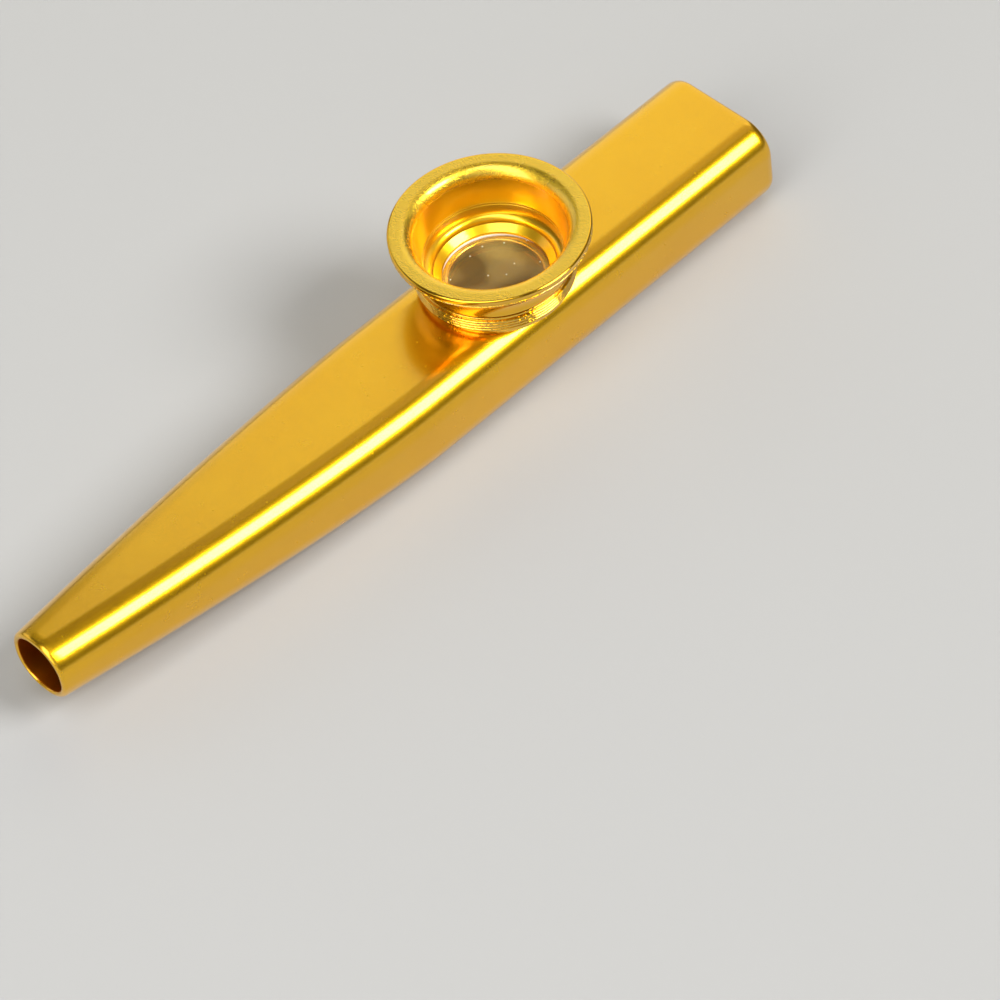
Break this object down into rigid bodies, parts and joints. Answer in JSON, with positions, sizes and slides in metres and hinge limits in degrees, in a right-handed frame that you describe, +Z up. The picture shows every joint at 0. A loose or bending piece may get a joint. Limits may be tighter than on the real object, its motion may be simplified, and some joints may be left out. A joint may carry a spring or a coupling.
{
  "type": "kazoo",
  "caption": "Gold anodised metal kazoo: a flattened tapering tube with a small mouth, and a flared screw-in cup that clamps the buzzing membrane in a beaded socket on top.",
  "frame": {"origin": "on the resting face, halfway along the body", "axes": "+X from the mouth to the wide end, +Y to the left when seen from the mouth, +Z up through the cup"},
  "size_m": [0.12, 0.026, 0.0218],
  "materials": {
    "anodised_body": "satin gold anodised",
    "anodised_turned": "turned and gold anodised",
    "ring_paper": "matt white paper",
    "film": "thin clear film"
  },
  "bodies": {
    "body": {"body_tube": "anodised_body", "turret_socket": "anodised_turned"},
    "membrane": {"membrane_ring": "ring_paper", "membrane_film": "film"},
    "cup": {"turret_cup": "anodised_turned"}
  },
  "joints": [
    {"name": "cup_turn", "type": "hinge", "parent": "body", "child": "membrane", "pos_m": [0.019, 0, 0.0129], "axis": [0, 0, 1], "range_deg": [0, 900]},
    {"name": "cup_lift", "type": "slide", "parent": "membrane", "child": "cup", "axis": [0, 0, 1], "range_m": [0, 0.0019]}
  ],
  "couplings": [
    {"joint": "cup_lift", "follows": "cup_turn", "m_per_rad": 0.00011937}
  ]
}
